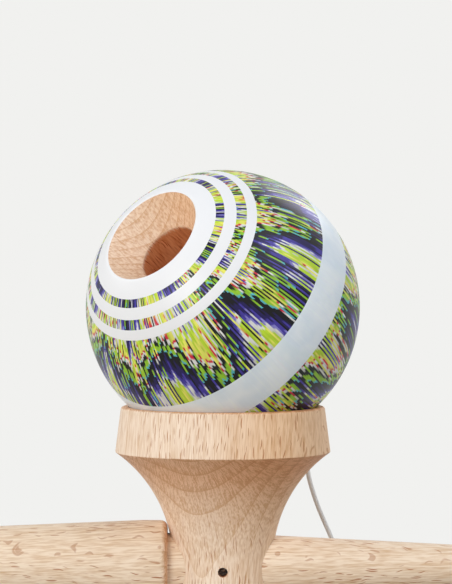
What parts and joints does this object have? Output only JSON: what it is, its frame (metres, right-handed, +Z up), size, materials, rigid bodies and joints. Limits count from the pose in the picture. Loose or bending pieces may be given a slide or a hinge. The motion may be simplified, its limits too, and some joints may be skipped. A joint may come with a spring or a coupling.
{
  "type": "kendama",
  "caption": "Wooden cup-and-ball toy: a spiked handle through a double-cup cross piece, with a drilled lacquered ball on a string resting in the big cup.",
  "frame": {"origin": "centre of the small cup's rim, on the surface that the toy stands on", "axes": "+Z up along the cross piece's axis, towards the big cup and the ball; +X along the handle towards the spike; the string's hole in use faces +Y, the back"},
  "size_m": [0.166, 0.1149, 0.1229],
  "materials": {
    "beech": "bare turned beech, fine sanded",
    "lacquered_wood": "printed and clear lacquered",
    "bead_wood": "bare",
    "braided_string": "braided"
  },
  "bodies": {
    "sarado": {"sarado": "beech", "string_free": "braided_string"},
    "ken": {"ken": "beech", "string_in_ken": "braided_string", "ken_knot": "braided_string"},
    "stopper": {"bead": "bead_wood", "bead_knot": "braided_string", "string_in_tama": "braided_string"},
    "tama": {"tama": "lacquered_wood"}
  },
  "joints": [
    {"name": "ken_pull", "type": "slide", "parent": "sarado", "child": "ken", "axis": [-1, 0, 0], "range_m": [0, 0.09]},
    {"name": "tama_lift", "type": "slide", "parent": "sarado", "child": "stopper", "axis": [0, 0, 1], "range_m": [0, 0.06]},
    {"name": "tama_spin", "type": "hinge", "parent": "stopper", "child": "tama", "pos_m": [0, 0, 0.09242], "axis": [-0.5552, -0.5954, 0.5807], "continuous": true}
  ]
}
